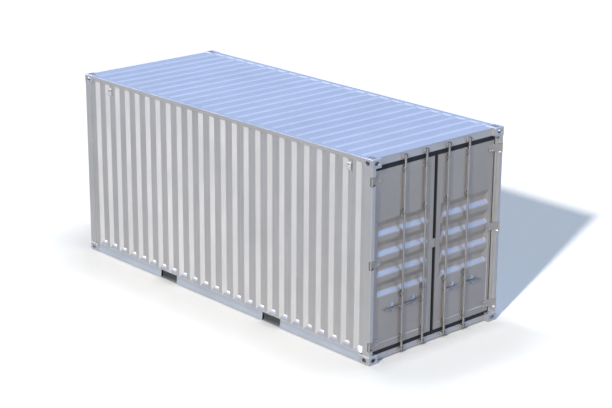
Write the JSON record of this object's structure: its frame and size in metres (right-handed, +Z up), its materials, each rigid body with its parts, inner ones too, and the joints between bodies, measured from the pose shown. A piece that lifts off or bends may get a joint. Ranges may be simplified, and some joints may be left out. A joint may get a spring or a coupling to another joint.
{
  "type": "shipping container",
  "caption": "Steel freight container with corrugated walls and roof, corner castings, fork pockets and two hinged end doors with lock bars.",
  "frame": {"origin": "centre of the footprint, on the plane under the bottom corner castings", "axes": "+X along the length to the door end, +Y across to the right side seen from the doors' inside looking at them, +Z up"},
  "size_m": [6.058, 2.438, 2.743],
  "materials": {
    "wall_paint": "semi-gloss light grey paint on corrugated steel",
    "roof_paint": "semi-gloss light grey paint on stamped steel",
    "door_paint": "semi-gloss light grey paint on pressed steel",
    "painted_castings": "light grey paint on cast steel",
    "painted_fittings": "light grey paint on forged steel",
    "galvanised_steel": "zinc coated steel",
    "rubber_seal": "matt black rubber",
    "plywood_floor": "oiled plywood boards"
  },
  "bodies": {
    "root": {"front_left_bottom_casting": "painted_castings", "front_left_top_casting": "painted_castings", "front_right_bottom_casting": "painted_castings", "front_right_top_casting": "painted_castings", "rear_left_bottom_casting": "painted_castings", "rear_left_top_casting": "painted_castings", "rear_right_bottom_casting": "painted_castings", "rear_right_top_casting": "painted_castings", "front_left_post": "wall_paint", "front_right_post": "wall_paint", "rear_left_post": "wall_paint", "rear_right_post": "wall_paint", "left_hinge_lugs": "painted_fittings", "right_hinge_lugs": "painted_fittings", "left_bottom_rail": "wall_paint", "right_bottom_rail": "wall_paint", "fork_pockets": "wall_paint", "cross_members": "wall_paint", "floor_boards": "plywood_floor", "left_top_rail": "wall_paint", "right_top_rail": "wall_paint", "door_header": "door_paint", "door_sill": "door_paint", "front_sill": "wall_paint", "front_header": "wall_paint", "left_wall": "wall_paint", "right_wall": "wall_paint", "front_wall": "wall_paint", "roof": "roof_paint", "cam_keepers": "painted_fittings", "ventilators": "wall_paint"},
    "left_door": {"left_door_frame": "door_paint", "left_door_panel": "door_paint", "left_door_gasket": "rubber_seal", "left_bar_guides": "painted_fittings", "left_handle_retainers": "painted_fittings"},
    "right_door": {"right_door_frame": "door_paint", "right_door_panel": "door_paint", "right_door_gasket": "rubber_seal", "right_bar_guides": "painted_fittings", "right_handle_retainers": "painted_fittings"},
    "left_inner_bar": {"left_inner_lock_bar": "galvanised_steel"},
    "left_inner_handle": {"left_inner_handle": "galvanised_steel"},
    "left_outer_bar": {"left_outer_lock_bar": "galvanised_steel"},
    "left_outer_handle": {"left_outer_handle": "galvanised_steel"},
    "right_inner_bar": {"right_inner_lock_bar": "galvanised_steel"},
    "right_inner_handle": {"right_inner_handle": "galvanised_steel"},
    "right_outer_bar": {"right_outer_lock_bar": "galvanised_steel"},
    "right_outer_handle": {"right_outer_handle": "galvanised_steel"}
  },
  "joints": [
    {"name": "left_door_hinge", "type": "hinge", "parent": "root", "child": "left_door", "pos_m": [3.017, -1.207, 1.355], "axis": [0, 0, -1], "range_deg": [0, 270]},
    {"name": "right_door_hinge", "type": "hinge", "parent": "root", "child": "right_door", "pos_m": [3.017, 1.207, 1.355], "axis": [0, 0, 1], "range_deg": [0, 270]},
    {"name": "left_inner_bar_turn", "type": "hinge", "parent": "left_door", "child": "left_inner_bar", "pos_m": [2.9915, -0.208, 1.367], "axis": [0, 0, -1], "range_deg": [-90, 0]},
    {"name": "left_inner_handle_lift", "type": "hinge", "parent": "left_inner_bar", "child": "left_inner_handle", "pos_m": [2.9915, -0.246, 0.67], "axis": [1, 0, 0], "range_deg": [-18, 0]},
    {"name": "left_outer_bar_turn", "type": "hinge", "parent": "left_door", "child": "left_outer_bar", "pos_m": [2.9915, -0.595, 1.367], "axis": [0, 0, -1], "range_deg": [-90, 0]},
    {"name": "left_outer_handle_lift", "type": "hinge", "parent": "left_outer_bar", "child": "left_outer_handle", "pos_m": [2.9915, -0.633, 0.67], "axis": [1, 0, 0], "range_deg": [-18, 0]},
    {"name": "right_inner_bar_turn", "type": "hinge", "parent": "right_door", "child": "right_inner_bar", "pos_m": [2.9915, 0.208, 1.367], "axis": [0, 0, 1], "range_deg": [-90, 0]},
    {"name": "right_inner_handle_lift", "type": "hinge", "parent": "right_inner_bar", "child": "right_inner_handle", "pos_m": [2.9915, 0.246, 0.67], "axis": [-1, 0, 0], "range_deg": [-18, 0]},
    {"name": "right_outer_bar_turn", "type": "hinge", "parent": "right_door", "child": "right_outer_bar", "pos_m": [2.9915, 0.595, 1.367], "axis": [0, 0, 1], "range_deg": [-90, 0]},
    {"name": "right_outer_handle_lift", "type": "hinge", "parent": "right_outer_bar", "child": "right_outer_handle", "pos_m": [2.9915, 0.633, 0.67], "axis": [-1, 0, 0], "range_deg": [-18, 0]}
  ]
}
